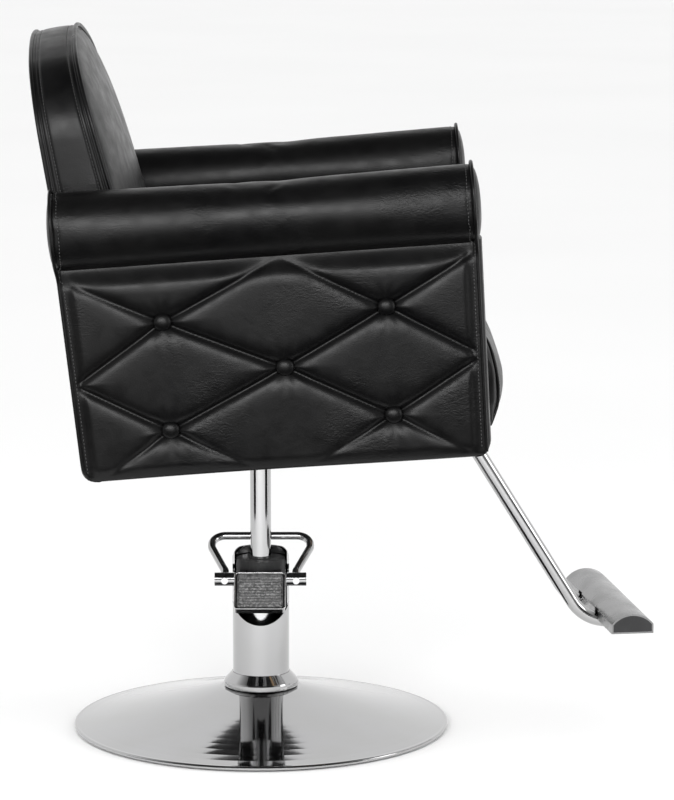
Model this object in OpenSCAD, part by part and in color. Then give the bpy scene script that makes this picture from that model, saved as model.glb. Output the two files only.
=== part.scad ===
// Hair salon styling chair: an upholstered armchair on a hydraulic pump with a round base.
// Millimetres. Z is up, the floor is Z = 0, the pump's axis is X = Y = 0, and the chair faces -Y.

/* [Base and pump] */
// Radius of the round base
base_r = 280; // [240:1:320]
// Height of the base dish where the collar stands on it
dish_h = 61; // [50:1:75]
// Radius of the collar ring
collar_r = 55.5; // [52:0.5:62]
// Outer radius of the pump's cover
cover_r = 42.2; // [41:0.2:46]
// Height of the cover's tall rear wall
cover_top = 267; // [262:1:268]
// Radius of the lift rod
ram_r = 15.5; // [14:0.5:17]
// Height of the pump head's flat top
head_top = 255; // [250:1:256]

/* [Pump lever] */
// Height of the lever's cross shaft
shaft_z = 229; // [225:1:231]
// Distance of the cross shaft from the pump's axis, on the pedal's side
shaft_out = 32; // [31:0.5:34]
// Length of the cross shaft
shaft_len = 136; // [130:1:144]
// Slope of the foot pedal
pedal_slope = 29; // [20:1:35]
// Width of the foot pedal
pedal_w = 74; // [64:1:80]
// Length of the foot pedal
pedal_len = 80; // [70:1:90]
// Width of the loop bar, outside to outside
loop_w = 159; // [152:1:166]

/* [Upholstered body] */
// Height of the body's underside above the pump's axis
body_z = 443; // [438:1:450]
// Angle at which the body leans back
body_tilt = 4; // [2:0.5:6]
// Half of the body's width across the side panels
panel_x = 312; // [300:1:320]
// Half of the width between the arms
inner_x = 242; // [238:1:250]
// Front end of the side panels, ahead of the pump's axis
front_f = 334; // [325:1:345]
// Rear end of the side panels, behind the pump's axis
rear_f = 252; // [245:1:256]
// Height of the arm rolls' centre above the underside
roll_h = 353; // [345:1:360]
// Radius of the arm rolls' rounded sides
roll_r = 48; // [44:1:50]
// Height of the top of the seat cushion above the underside
seat_h = 188; // [180:1:196]
// Height of the top of the backrest above the underside
back_h = 621; // [600:1:650]
// Half of the backrest's width
back_x = 235; // [225:1:238]

/* [Footrest] */
// Height of the footrest tread's underside
tread_z = 173; // [168:1:180]
// Distance of the tread's centre from the pump's axis
tread_f = 521; // [505:1:535]
// Length of the tread
tread_len = 327; // [290:1:350]
// Half of the distance between the footrest's tubes
tube_x = 58; // [50:1:70]
// Radius of the footrest's tubes
tube_r = 10; // [9:0.5:11]
// Angle at which the footrest is bolted on, out of square with the seat
footrest_skew = 5; // [0:0.5:6]
// Angle at which the tread sits crooked on its tubes
tread_turn = 3; // [0:0.5:4]

/* [Hidden] */

eps = 0.01;
gap = 0.3;          // clearance between parts that move past each other
fit = 0.05;         // radial clearance of a shaft in its bore
$fn = 72;

right = -1;         // the sitter's right side, where the pedal is
left = 1;

sheet = 2.5;        // thickness of the base dish
rim_h = 8;          // height of the dish's rolled rim
gasket_h = 4;       // height of the rubber ring under the rim
gasket_w = 9;
flange_r = 56;      // the pump's foot flange, under the dish
flange_bolt_r = 47; // its bolt circle
flange_h = 6;
tank_r = 36;        // the oil tank, up to its shoulder
tank_top = 128;
tank_wall = 4;
tank_floor = 14;
cylinder_r = 22.5;  // the lift cylinder inside and above the tank
cylinder_bore = 19;
bush_r = 17.6;      // outer radius of the guide bush and the wiper seal
head_r = 36;
head_bottom = 200;
head_front = 19;    // flat front face of the pump head, behind the cross shaft
lug_y = 22;         // inner face of the head's two shaft lugs
lug_w = 9;
shaft_r = 10;
bolt_y = 53;        // the two bolts that hold the loop bar in the shaft
pad_up = 8;         // top edge of the pedal above the shaft's centre
loop_r = 6;
loop_rise = 49;     // height of the loop's top bar above the shaft
loop_back = 82;     // distance of the loop's top bar from the shaft, past the rod
leg_angle = atan2(loop_rise, loop_back);
piston_h = 26;
piston_z = 158;     // underside of the lift piston
rod_bottom = piston_z + 6;
hub_bottom = 395;
hub_r = 26;
rod_top = 440;

plate_h = 17;       // underside of the steel seat plate above the body's underside
plate_t = 5;
deck_h = 23;        // underside of the plywood deck
deck_t = 12;
rail_t = 24;
rail_top = 98;
spring_r = 2;
cushion_h = 106;    // underside of the seat cushion
cushion_rear = 168; // rear edge of the seat cushion, behind the axis
apron_back = 302;   // rear face of the cushion's front apron
apron_low = 16;
seat_front = 352;   // most forward line of the apron
apron_r = 250;      // radius of the apron's swell

back_foot_f = 222;  // rear face of the backrest at the underside
back_top_f = 284;   // rear face of the backrest at its top
shell_foot = 171;   // front face of the back shell behind the seat cushion
shell_low = 107;    // thickness of the back shell just above the seat
shell_high = 60;    // thickness of the back shell at its top
arch_r = 120;       // radius of the backrest's shoulders
arch_top_r = 430;   // radius of the flatter crown between them
crown = 26;         // thickness of the back cushion ahead of the shell

arm_t = panel_x - inner_x;
arm_skin = 16;      // padding round the arm's wooden frame
roll_x = 287;
roll_rear = 266;
roll_front = 338;
roll_half = 10;     // half of the flat part of the roll's side
welt = 3;           // width of the corded welt round the roll's ends

button_r = 13;
button_rows = [66, 144, 219];    // heights of the buttons above the underside
button_cols = [-116, 50, 197];   // places of the buttons, ahead of the axis
button_spots = [
    [button_cols[0], button_rows[0]], [button_cols[2], button_rows[0]],
    [button_cols[1], button_rows[1]],
    [button_cols[0], button_rows[2]], [button_cols[2], button_rows[2]]
];

leg_slope = 58.1;   // slope of the footrest's legs
leg_x = 321;        // a point on the legs' centre line, ahead of the axis ...
leg_z = 418;        // ... and its height
knee_r = 34;        // bend under the seat
toe_r = 62;         // bend before the tread
tread_w = 62;
tread_edge = 14;
tread_arc = 15;
tread_wall = 2.5;
cap_t = 6;

// ---------- places ----------

// The upholstered body's own frame: x across, -y forward, z up from its underside.
module in_body() {
    translate([0, 0, body_z]) rotate([-body_tilt, 0, 0]) children();
}

// A side profile drawn as [forward, up] points and pushed across from x = -half to x = half.
module across(half) {
    rotate([90, 0, -90]) linear_extrude(2 * half, center = true) children();
}

// A front profile drawn as [across, up] points and pushed backwards from a face.
module along(front, length) {
    translate([0, length - front, 0]) rotate([90, 0, 0]) linear_extrude(length) children();
}

// The lever's own frame: the cross shaft's centre, with x towards the rear of the pump.
module at_shaft() {
    translate([-shaft_out, 0, shaft_z]) children();
}

// A rod's shaft along Y.
module y_rod(r, length) {
    rotate([90, 0, 0]) cylinder(r = r, h = length, center = true);
}

module ring(r_out, r_in, h) {
    difference() {
        cylinder(r = r_out, h = h);
        translate([0, 0, -1]) cylinder(r = r_in, h = h + 2);
    }
}

// A hexagon-headed bolt pointing up from the underside of its head.
module hex_bolt(r, length, head_w = 13, head_t = 5) {
    cylinder(r = r, h = length);
    translate([0, 0, -head_t]) cylinder(d = head_w / cos(30), h = head_t, $fn = 6);
}

module round_rect(w, h, r) {
    hull() for (x = [r, w - r]) for (y = [r, h - r]) translate([x, y]) circle(r, $fn = 32);
}

// A bent bar: each step of the run is [straight length, bend angle, bend radius].
// It starts along +Z, and bends towards +X, or towards -X where the angle is negative.
// A thin sleeve covers each place where a straight stretch meets a bend.
module bent_bar(run, r, step = 0) {
    seam = 0.1;
    if (step < len(run)) {
        go = run[step][0];
        turn = abs(run[step][1]);
        bend = run[step][2];
        flip = run[step][1] < 0 ? 180 : 0;
        start = step > 0 ? seam : 0;
        translate([0, 0, start]) cylinder(r = r, h = go - start - (turn > 0 ? seam : 0));
        if (step > 0) translate([0, 0, -0.5]) cylinder(r = r + 0.08, h = 1);
        translate([0, 0, go]) rotate([0, 0, flip]) if (turn > 0) {
            translate([0, 0, -0.5]) cylinder(r = r + 0.08, h = 1);
            translate([bend, 0, 0]) rotate([90, 0, 0]) rotate([0, 0, 180 - turn])
                rotate_extrude(angle = turn) translate([bend, 0]) circle(r);
            translate([bend * (1 - cos(turn)), 0, bend * sin(turn)])
                rotate([0, turn, 0]) rotate([0, 0, -flip]) bent_bar(run, r, step + 1);
        }
    }
}

// ---------- base ----------

// Height of the dish's top at a radius: it rises to the collar, a little hollow like a trumpet.
function dish_z(r) = rim_h + (dish_h - rim_h) * pow((base_r - 6 - r) / (base_r - 6 - collar_r), 1.12);
dish_steps = 14;
dish_line = [for (i = [0 : dish_steps])
    let (r = base_r - 6 - (base_r - 6 - 44) * i / dish_steps) [r, min(dish_z(r), dish_h)]];

module base_dish() {
    color("silver") rotate_extrude($fn = 144) difference() {
        union() {
            polygon(concat([[base_r - 6, 2]], dish_line, [[44, 2]]));
            translate([base_r - 6, 2]) square([6 - 3, 3]);
            translate([base_r - 3, 5]) circle(3, $fn = 32);
            translate([base_r - 6, 2]) square([3, 6]);
        }
        polygon(concat([[base_r - 6 - sheet, 2 - eps], [base_r - 6 - sheet, rim_h - sheet]],
            [for (p = dish_line) if (p[0] < base_r - 8) [p[0] - 1, p[1] - sheet]],
            [[43, dish_h - sheet], [43, 2 - eps]]));
    }
}

module floor_gasket() {
    color("#202020") ring(base_r - 6 - sheet - 0.2, base_r - 6 - sheet - gasket_w, gasket_h);
}

module ballast_ring() {
    color("dimgray") translate([0, 0, 4]) rotate_extrude($fn = 96)
        polygon([[70, 0], [214, 0], [206, 8], [110, 26], [70, 26]]);
}

module collar_ring() {
    color("silver") translate([0, 0, dish_h]) rotate_extrude() polygon([
        [cover_r + fit, 0], [collar_r - 1.5, 0], [collar_r, 1.5], [collar_r, 8],
        [collar_r - 1, 10], [cover_r + 1.2, 22], [cover_r + fit, 22]
    ]);
}

flange_z = dish_h - sheet - flange_h - 1.5;

module pump_flange() {
    color("dimgray") translate([0, 0, flange_z]) difference() {
        ring(flange_r, tank_r + fit, flange_h);
        for (a = [45 : 90 : 315]) rotate([0, 0, a]) translate([flange_bolt_r, 0, -1])
            cylinder(r = 4.2, h = flange_h + 2);
    }
}

// Four bolts from below, through the flange.
module flange_bolts() {
    color("gray") for (a = [45 : 90 : 315]) rotate([0, 0, a])
        translate([flange_bolt_r, 0, flange_z]) hex_bolt(4, flange_h);
}

module pump_tank() {
    color("gray") difference() {
        translate([0, 0, tank_floor]) cylinder(r = tank_r, h = tank_top - tank_floor);
        translate([0, 0, tank_floor + 5]) cylinder(r = tank_r - tank_wall, h = tank_top - tank_floor - 10);
        translate([0, 0, tank_top - 6]) cylinder(r = cylinder_r + fit, h = 7);
    }
}

module ram_cylinder() {
    color("lightgray") translate([0, 0, tank_floor + 5 + eps])
        ring(cylinder_r, cylinder_bore, head_bottom - tank_floor - 5);
}

// The black pump head: a round cap with a flat front and two lugs that carry the cross shaft.
module pump_head() {
    color("#1c1c1c") difference() {
        union() {
            difference() {
                translate([0, 0, head_bottom]) cylinder(r = head_r, h = head_top - head_bottom);
                translate([-head_r - 1, -head_r - 1, head_bottom - 1])
                    cube([head_r + 1 - head_front, 2 * head_r + 2, shaft_z + 14 - head_bottom]);
            }
            for (s = [-1, 1]) translate([-shaft_out, s * (lug_y + lug_w / 2), shaft_z]) {
                y_rod(shaft_r + 3.1, lug_w);
                translate([0, -lug_w / 2, -9]) cube([shaft_out - 16, lug_w, 18]);
            }
        }
        translate([0, 0, head_bottom - 1]) cylinder(r = bush_r + 0.02, h = head_top - head_bottom + 2);
        translate([0, 0, head_bottom - 1]) cylinder(r = cylinder_r + fit, h = 11);
        at_shaft() y_rod(shaft_r + fit, 2 * head_r);
    }
}

module guide_bush() {
    color("goldenrod") translate([0, 0, head_bottom + 12])
        ring(bush_r, ram_r + fit, 32);
}

module wiper_seal() {
    color("#181818") translate([0, 0, head_top - 8]) ring(bush_r, ram_r + fit, 9);
}

// The cover: a sleeve whose front is cut away above a round notch, with a tall rear wall.
module pump_cover() {
    notch_r = 45.5;
    notch_low = 160;
    color("silver") intersection() {
        difference() {
            translate([0, 0, dish_h + fit]) ring(cover_r, cover_r - 3, cover_top - dish_h - fit);
            translate([-cover_r - 1, 0, notch_low + notch_r]) rotate([0, 90, 0])
                cylinder(r = notch_r, h = cover_r + 1);
            translate([-cover_r - 1, -cover_r - 1, notch_low + notch_r])
                cube([cover_r + 1, 2 * cover_r + 2, 200]);
        }
        translate([-100, 0, 0]) rotate([90, 0, 90]) linear_extrude(200) union() {
            square([2 * cover_r + 2, 2 * (cover_top - 12)], center = true);
            for (s = [-1, 1]) translate([s * (cover_r - 12), cover_top - 12]) circle(12);
            translate([-cover_r + 12, cover_top - 13]) square([2 * cover_r - 24, 13]);
        }
    }
}

// ---------- lever ----------

module cross_shaft() {
    color("silver") difference() {
        at_shaft() y_rod(shaft_r, shaft_len);
        for (s = [-1, 1]) at_shaft() translate([0, s * bolt_y, 0]) {
            rotate([0, 90, 0]) cylinder(r = 3.05, h = 40, center = true);
            rotate([0, -leg_angle + 90, 0]) translate([0, 0, -4]) cylinder(r = loop_r + 0.02, h = 40);
        }
    }
}

// The pedal's own frame: the middle of its top edge, with x down the slope.
module on_pedal() {
    at_shaft() translate([-14, 0, pad_up]) rotate([0, -pedal_slope, 0]) rotate([0, 0, 180]) children();
}

module pedal_arm() {
    color("gray") difference() {
        union() {
            at_shaft() y_rod(shaft_r + 2.5, 2 * lug_y - 2 * gap - 4);
            on_pedal() translate([-4, -10, -14]) cube([58, 20, 14 - 3 - 0.02]);
        }
        at_shaft() y_rod(shaft_r + 0.02, 100);
    }
}

// A tray with a raised rim round the tread.
module pedal_plate() {
    color("silver") on_pedal() translate([0, -pedal_w / 2, -3]) difference() {
        linear_extrude(9) round_rect(pedal_len, pedal_w, 5);
        translate([3, 3, 3]) linear_extrude(9) round_rect(pedal_len - 6, pedal_w - 6, 3.5);
    }
}

// The serrated tread: rows of low ridges on a mat.
module pedal_tread() {
    mat_len = pedal_len - 6.4;
    mat_w = pedal_w - 6.4;
    pitch = mat_len / 12;
    color("dimgray") on_pedal() translate([3.2, -mat_w / 2, 0.02]) {
        linear_extrude(3.5) round_rect(mat_len, mat_w, 3.3);
        for (i = [1 : 11]) translate([i * pitch, 3, 3.4]) rotate([-90, 0, 0]) rotate([0, 0, 180])
            linear_extrude(mat_w - 6) polygon([[-2, 0], [2, 0], [0.7, 2.2], [-0.7, 2.2]]);
    }
}

// The loop bar: a round bar up from the shaft's two ends, kinked outwards, over behind the rod.
module loop_bar() {
    reach = norm([loop_rise, loop_back]);
    half = loop_w / 2 - loop_r;
    corner = 20;
    kink = 22;
    kink_r = 16;
    start = 3;
    foot = 12;
    slope = (half - bolt_y - 2 * kink_r * (1 - cos(kink))) / sin(kink);
    top = reach - corner - start - foot - slope * cos(kink) - 2 * kink_r * sin(kink);
    color("silver") at_shaft() rotate([0, 90 - leg_angle, 0])
        translate([0, bolt_y, start]) rotate([0, 0, 90]) bent_bar([
            [foot, kink, kink_r], [slope, -kink, kink_r],
            [top, -90, corner], [2 * (half - corner), -90, corner],
            [top, -kink, kink_r], [slope, kink, kink_r], [foot, 0, 0]
        ], loop_r);
}

module lever_bolts() {
    color("gray") at_shaft() for (s = [-1, 1]) translate([0, s * bolt_y, 0]) {
        translate([-shaft_r - 3.5, 0, 0]) rotate([0, 90, 0]) cylinder(r = 5, h = 3.5);
        translate([-shaft_r, 0, 0]) rotate([0, 90, 0]) cylinder(r = 3, h = 2 * shaft_r - 12);
    }
}

// ---------- lift ----------

module lift_piston() {
    color("gray") difference() {
        translate([0, 0, piston_z]) cylinder(r = cylinder_bore - fit, h = piston_h);
        translate([0, 0, rod_bottom]) cylinder(r = ram_r - 4 + fit, h = piston_h);
        translate([0, 0, piston_z + piston_h - 3 + 0.2]) cylinder(r = ram_r + fit + 1, h = 5);
        translate([0, 0, piston_z + 5]) ring(cylinder_bore + 1, cylinder_bore - 3, 8);
    }
}

module piston_seal() {
    color("#181818") translate([0, 0, piston_z + 5.1]) ring(cylinder_bore - fit, cylinder_bore - 2.9, 7.8);
}

module thrust_washer() {
    color("goldenrod") translate([0, 0, piston_z + piston_h - 2.7])
        ring(ram_r + 0.9, ram_r - 4 + fit, 2.4);
}

module ram_rod() {
    color("silver") {
        translate([0, 0, rod_bottom + 0.3]) cylinder(r = ram_r - 4, h = piston_h);
        translate([0, 0, piston_z + piston_h + 0.05]) cylinder(r = ram_r, h = rod_top - piston_z - piston_h);
    }
}

// ---------- seat ----------

module hub_socket() {
    color("dimgray") difference() {
        union() {
            translate([0, 0, hub_bottom]) cylinder(r = hub_r, h = 90);
            translate([0, 0, hub_bottom + 38]) cylinder(r1 = hub_r, r2 = hub_r + 16, h = 40);
        }
        in_body() translate([-100, -100, plate_h]) cube(200);
        translate([0, 0, hub_bottom - 1]) cylinder(r = ram_r + 0.02, h = rod_top - hub_bottom + 1.5);
    }
}

plate_half = 105;
plate_bolt = 85;

module seat_plate() {
    color("dimgray") in_body() difference() {
        translate([-plate_half, -plate_half, plate_h]) cube([2 * plate_half, 2 * plate_half, plate_t]);
        for (x = [-1, 1]) for (y = [-1, 1]) translate([x * plate_bolt, y * plate_bolt, 0])
            cylinder(r = 4.2, h = 60);
    }
}

module plate_bolts() {
    color("gray") in_body() for (x = [-1, 1]) for (y = [-1, 1])
        translate([x * plate_bolt, y * plate_bolt, plate_h]) hex_bolt(4, 17);
}

deck_rear = 205;
deck_front = 300;

module seat_deck() {
    color("burlywood") in_body() difference() {
        translate([-inner_x + 1, -deck_front, deck_h])
            cube([2 * inner_x - 2, deck_rear + deck_front, deck_t]);
        for (x = [-1, 1]) for (y = [-1, 1]) translate([x * plate_bolt, y * plate_bolt, deck_h - 1])
            cylinder(r = 4.1, h = deck_t + 2);
        for (x = [-1, 1]) for (y = bracket_bolts) translate([x * bracket_x, y, deck_h - 1])
            cylinder(r = 3.6, h = deck_t + 2);
    }
}

// A thin black cloth stapled under the deck, open where the plate and the bracket are.
module under_cover() {
    color("#151515") in_body() difference() {
        translate([-inner_x + 2, -deck_front + 2, deck_h - 1.2])
            cube([2 * inner_x - 4, deck_rear + deck_front - 4, 1.1]);
        translate([-plate_half - 3, -plate_half - 3, deck_h - 5])
            cube([2 * plate_half + 6, 2 * plate_half + 6, 10]);
        translate([-bracket_x - 34, -bracket_front - 9, deck_h - 5])
            cube([2 * bracket_x + 68, bracket_front - bracket_rear + 18, 10]);
    }
}

module rail(x, y, w, l) {
    translate([x, y, deck_h + deck_t]) cube([w, l, rail_top - deck_h - deck_t]);
}

module front_rail() {
    color("burlywood") in_body() rail(-inner_x + 1, -deck_front, 2 * inner_x - 2, rail_t);
}

module rear_rail() {
    color("burlywood") in_body() rail(-inner_x + 1, cushion_rear - rail_t - 12, 2 * inner_x - 2, rail_t);
}

module side_rails() {
    color("burlywood") for (side = [right, left]) on_side(side) difference() {
        rail(inner_x - 1 - rail_t, -deck_front + rail_t + eps, rail_t,
            deck_front + cushion_rear - 2 * rail_t - 12 - 2 * eps);
        arm_bolt_holes();
    }
}

// Flat wire springs from the front rail to the rear rail.
module seat_springs() {
    color("gray") in_body() for (i = [-2 : 2]) {
        translate([i * 84, (cushion_rear - deck_front) / 2 - 6, rail_top + spring_r]) {
            y_rod(spring_r, deck_front + cushion_rear - 24);
            for (j = [-3 : 3]) translate([0, j * 58, 0]) rotate([0, 90, 0])
                cylinder(r = spring_r, h = 44, center = true);
        }
    }
}

// The seat cushion: a pad with a swelling front apron that hangs over the front rail.
module seat_cushion() {
    corner = 24;
    color("#141414") in_body() across(inner_x - 2) intersection() {
        translate([seat_front - apron_r, (apron_low + seat_h) / 2]) union() {
            circle(apron_r, $fn = 144);
            translate([-600, -200]) square([600, 400]);
        }
        union() {
            translate([-cushion_rear, cushion_h])
                round_rect(cushion_rear + seat_front, seat_h - cushion_h, corner);
            translate([apron_back, apron_low]) square([seat_front - apron_back, cushion_h]);
        }
    }
}

// ---------- back ----------

back_low = seat_h + 4;
lean_angle = atan((back_top_f - back_foot_f) / back_h);

function lean(h) = back_foot_f + (back_top_f - back_foot_f) * h / back_h;

// Thickness of the shell above the seat.
function shell_t(h) = shell_high + (shell_low - shell_high) * (back_h - h) / (back_h - back_low);

// The backrest's outline, [across, up]: two shoulder arcs and a flatter arc that touches both.
module back_outline(low, inset = 0) {
    w = back_x - inset;
    r = arch_r - inset;
    top_r = arch_top_r - inset;
    hub = back_h - inset - top_r;
    shoulder = hub + sqrt(pow(top_r - r, 2) - pow(w - r, 2));
    translate([-w, low]) square([2 * w, shoulder - low]);
    for (s = [-1, 1]) translate([s * (w - r), shoulder]) circle(r);
    intersection() {
        translate([0, hub]) rotate(-90) circle(top_r, $fn = 360);
        polygon([[0, hub], [-2 * (w - r), 2 * shoulder - hub], [2 * (w - r), 2 * shoulder - hub]]);
        translate([-w, low]) square([2 * w, 900]);
    }
}

// A solid with that outline, square to the lean; the heights are true at the shell's front edge.
module back_form(inset = 0) {
    pivot = back_top_f - shell_high;
    translate([0, pivot, back_h]) rotate([-lean_angle, 0, 0]) translate([0, -pivot, -back_h])
        along(400, 800) back_outline(-40, inset);
}

// A layer of the backrest, between two distances ahead of its leaning rear face.
module back_layer(from, to_low, to_high, low, high, from_high = undef) {
    across(back_x + 50) polygon([
        [from - lean(low), low], [(is_undef(from_high) ? from : from_high) - lean(high), high],
        [to_high - lean(high), high], [to_low - lean(low), low]
    ]);
}

back_cut = back_h + 12;
board_in = 14;      // the wooden board's rear face, ahead of the shell's
board_t = 16;
post_t = 20;
board_low = deck_h + deck_t;
board_edge = 22;    // from the shell's outline in to the board's

module back_board() {
    color("burlywood") in_body() intersection() {
        back_form(board_edge);
        back_layer(board_in, board_in + board_t, board_in + board_t, board_low, back_cut);
    }
}

// Two posts that stand on the deck and carry the board.
module back_posts() {
    front = board_in + board_t;
    color("burlywood") in_body() for (s = [-1, 1]) intersection() {
        translate([s * 150 - 25, 0, board_low]) cube([50, 400, 170]);
        back_layer(front, front + post_t, front + post_t, 0, back_cut);
    }
}

// The padded shell: a slab with a banded edge, hollow where the board and its posts are.
module back_shell() {
    front = board_in + board_t;
    color("#141414") in_body() difference() {
        intersection() {
            back_form();
            union() {
                back_layer(0, shell_t(back_low), shell_t(back_cut), back_low, back_cut);
                back_layer(0, lean(0) - shell_foot, lean(back_low + 1) - shell_foot, 0, back_low + 1);
            }
        }
        intersection() {
            back_form(board_edge - gap);
            back_layer(board_in - gap, front + gap, front + gap, board_low - gap, back_cut);
        }
        for (s = [-1, 1]) intersection() {
            translate([s * 150 - 25 - gap, 0, board_low - gap]) cube([50 + 2 * gap, 400, 170 + 2 * gap]);
            back_layer(front, front + post_t + gap, front + post_t + gap, 0, back_cut);
        }
        translate([-inner_x, 0, deck_h - 2]) cube([2 * inner_x, deck_rear + gap, deck_t + 2 + gap]);
    }
}

// The back cushion: a pad on the shell's front, from the seat to the arched top.
module back_cushion() {
    color("#141414") in_body() intersection() {
        back_form(8);
        back_layer(shell_low, shell_low + crown, shell_t(back_cut) + crown, back_low, back_cut,
            shell_t(back_cut));
    }
}

// ---------- arms ----------

// Outline of the arm roll's cross-section, [across, up].
module roll_outline(extra = 0) {
    for (s = [-1, 1]) translate([roll_x, roll_h + s * roll_half]) circle(roll_r + extra);
    translate([roll_x - roll_r - extra, roll_h - roll_half]) square([2 * (roll_r + extra), 2 * roll_half]);
}

// One side's parts are drawn for the left and mirrored for the right.
module on_side(side) {
    in_body() mirror([side < 0 ? 1 : 0, 0, 0]) children();
}

module arm_roll(side) {
    color("#141414") on_side(side) along(roll_front, roll_front + roll_rear) roll_outline();
}

// Corded welts round the two ends of an arm roll.
module roll_welts(side) {
    color("#101010") on_side(side) for (f = [roll_front, welt - roll_rear])
        along(f, welt) difference() {
            roll_outline(welt);
            roll_outline(0.02);
        }
}

module side_panel(side) {
    color("#141414") on_side(side) difference() {
        translate([inner_x, 0, 0]) rotate([90, 0, 90]) linear_extrude(arm_t) polygon([
            [3 - front_f, 0], [rear_f - 6, 0], [rear_f + 10, 340], [-front_f - 3, 340]
        ]);
        along(500, 1000) roll_outline(welt + gap);
        arm_bolt_holes();
        translate([inner_x + arm_skin, 24 - front_f, 14])
            cube([arm_t - 2 * arm_skin, rear_f + front_f - 48, 272]);
        for (p = button_spots) translate([panel_x + 1, -p[0], p[1]]) rotate([0, -90, 0])
            cylinder(r = button_r + 0.4, h = 5);
    }
}

// A ladder-like wooden frame inside the arm.
module arm_frame(side) {
    w = arm_t - 2 * arm_skin - 0.4;
    length = rear_f + front_f - 48.4;
    corner = [inner_x + arm_skin + 0.2, 24.2 - front_f, 14.2];
    color("burlywood") on_side(side) translate(corner) difference() {
        cube([w, length, 271.6]);
        for (i = [0 : 2]) translate([-1, 30 + i * (length - 30) / 3, 50])
            cube([w + 2, (length - 30) / 3 - 30, 271.6 - 90]);
        translate(-corner) arm_bolt_holes();
    }
}

module buttons(side) {
    color("#181818") on_side(side) for (p = button_spots)
        translate([panel_x - 4, -p[0], p[1]]) rotate([0, 90, 0]) {
            cylinder(r = button_r, h = 4.5);
            translate([0, 0, 4.5]) intersection() {
                translate([0, 0, -18]) sphere(22.2);
                cylinder(r = button_r, h = 6);
            }
        }
}

// Bolts through the seat's side rails into the arms' frames, two a side.
module arm_bolt_places() {
    for (y = [-220, 90]) translate([inner_x - rail_t - 1, y, 48]) rotate([0, 90, 0]) children();
}

module arm_bolt_holes() {
    arm_bolt_places() translate([0, 0, -1]) cylinder(r = 4.1, h = rail_t + arm_skin + 14);
}

module arm_bolts() {
    color("gray") for (side = [right, left]) on_side(side) arm_bolt_places() {
        translate([0, 0, -4]) cylinder(r = 8, h = 4);
        cylinder(r = 4, h = rail_t + arm_skin + 12);
    }
}

// ---------- footrest ----------

bracket_x = tube_x + 44;
bracket_rear = 130;
bracket_front = 250;
bracket_bolts = [-150, -230];

// The footrest stands level and is turned a little about a vertical line midway to the tread.
module footrest_place() {
    translate([0, -400, 0]) rotate([0, 0, footrest_skew]) translate([0, 400, 0]) children();
}

// Centre line of the legs, as the distance ahead of the axis at a height.
function leg_f(z) = leg_x + (leg_z - z) / tan(leg_slope);

bracket_h = plate_h + 2;
tube_z = tread_z - 2.5;                 // the tubes run into slots in the tread's underside
under_h = bracket_h - tube_r - 0.45;    // the tubes' centre line under the deck
under_len = 150;
tilt_t = tan(body_tilt);
knee_f = (leg_f(body_z + under_h / cos(body_tilt))) / (1 + tilt_t / tan(leg_slope));
knee_z = body_z + knee_f * tilt_t + under_h / cos(body_tilt);
knee_turn = leg_slope + body_tilt;
knee_cut = knee_r * tan(knee_turn / 2);
toe_cut = toe_r * tan(leg_slope / 2);
tube_run = [
    [under_len - knee_cut, knee_turn, knee_r],
    [(knee_z - tube_z) / sin(leg_slope) - knee_cut - toe_cut, -leg_slope, toe_r],
    [tread_f + 4 - leg_f(tube_z) - toe_cut, 0, 0]
];

module footrest_legs(r) {
    footrest_place() for (s = [-1, 1])
        translate([s * tube_x, -knee_f, knee_z]) rotate([0, 0, -90]) rotate([0, 90 - body_tilt, 0])
            translate([0, 0, -under_len]) bent_bar(tube_run, r);
}

module footrest_tubes() {
    color("silver") footrest_legs(tube_r);
}

module footrest_bracket() {
    color("dimgray") in_body() difference() {
        translate([-bracket_x - 14, -bracket_front, bracket_h])
            cube([2 * bracket_x + 28, bracket_front - bracket_rear, deck_h - bracket_h]);
        for (x = [-1, 1]) for (y = bracket_bolts) translate([x * bracket_x, y, 0]) cylinder(r = 3.7, h = 60);
    }
}

module footrest_bolts() {
    color("gray") in_body() for (x = [-1, 1]) for (y = bracket_bolts)
        translate([x * bracket_x, y, bracket_h]) hex_bolt(3.5, 15, 11, 4.5);
}

// The tread's D-shaped cross-section, [forward, up], shrunk by an inset.
module tread_outline(inset = 0) {
    arc_r = (tread_w * tread_w / 4 + tread_arc * tread_arc) / (2 * tread_arc);
    intersection() {
        translate([-tread_w / 2 + inset, inset]) square([tread_w - 2 * inset, 60]);
        translate([0, tread_edge + tread_arc - arc_r]) circle(arc_r - inset, $fn = 144);
    }
}

module tread_foot() {
    footrest_place() translate([0, -tread_f, tread_z]) children();
}

module tread_place() {
    tread_foot() rotate([0, 0, tread_turn]) children();
}

module footrest_tread() {
    color("silver") tread_place() difference() {
        across(tread_len / 2) tread_outline();
        across(tread_len) tread_outline(tread_wall);
        for (s = [-1, 1]) rotate([0, 0, -tread_turn])
            translate([s * tube_x, tread_w / 2 + 1, tube_z - tread_z]) {
            rotate([90, 0, 0]) cylinder(r = tube_r + gap, h = tread_w / 2 + 6);
            translate([-tube_r - gap, -16, 0]) cube([2 * tube_r + 2 * gap, 20, tread_edge + 4]);
        }
    }
}

module tread_end_caps() {
    color("#181818") tread_place() for (s = [-1, 1]) translate([s * (tread_len / 2 - cap_t / 2 - 0.5), 0, 0])
        across(cap_t / 2) tread_outline(tread_wall + 0.08);
}

module tread_screws() {
    color("gray") tread_foot() for (s = [-1, 1]) translate([s * tube_x, 10, tube_z - tread_z - tube_r]) {
        translate([0, 0, -2.4]) cylinder(r = 5, h = 2.4);
        cylinder(r = 3, h = 2 * tube_r + 10);
    }
}

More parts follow.
